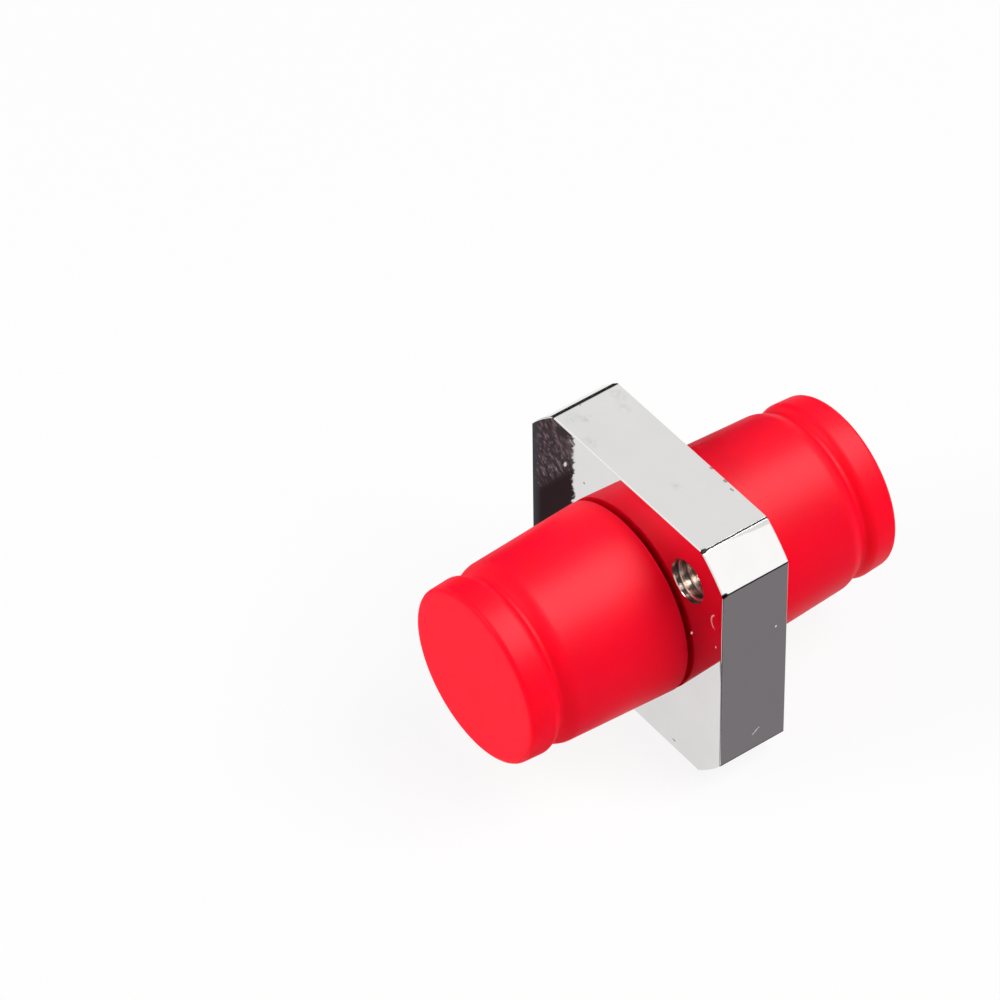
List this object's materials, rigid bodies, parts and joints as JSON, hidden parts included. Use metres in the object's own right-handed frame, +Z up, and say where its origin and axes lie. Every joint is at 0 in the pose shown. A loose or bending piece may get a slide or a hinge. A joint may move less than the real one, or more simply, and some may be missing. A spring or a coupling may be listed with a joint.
{
  "type": "fc fibre adapter",
  "caption": "Square-flanged metal adapter that joins two threaded fibre plugs end to end, with a soft red push-on dust cap over each threaded barrel.",
  "frame": {"origin": "on the floor under the middle of the flange, at the centre of the bottom of the bounding box", "axes": "+Y along the light path from the front port to the rear port, +Z up towards the key slots, +X to the right when the front port is looked at"},
  "size_m": [0.014, 0.0208, 0.014],
  "materials": {
    "plated_metal": "polished bright nickel plating with fine polishing scratches",
    "bush_metal": "turned and nickel plated",
    "zirconia": "ground white ceramic",
    "red_vinyl": "soft satin vinyl, bright red"
  },
  "bodies": {
    "adapter": {"adapter_body": "plated_metal", "sleeve_bush": "bush_metal", "split_sleeve": "zirconia"},
    "front_cap": {"front_dust_cap": "red_vinyl"},
    "rear_cap": {"rear_dust_cap": "red_vinyl"}
  },
  "joints": [
    {"name": "front_cap_slide", "type": "slide", "parent": "adapter", "child": "front_cap", "axis": [0, -1, 0], "range_m": [0, 0.008]},
    {"name": "rear_cap_slide", "type": "slide", "parent": "adapter", "child": "rear_cap", "axis": [0, 1, 0], "range_m": [0, 0.008]}
  ]
}
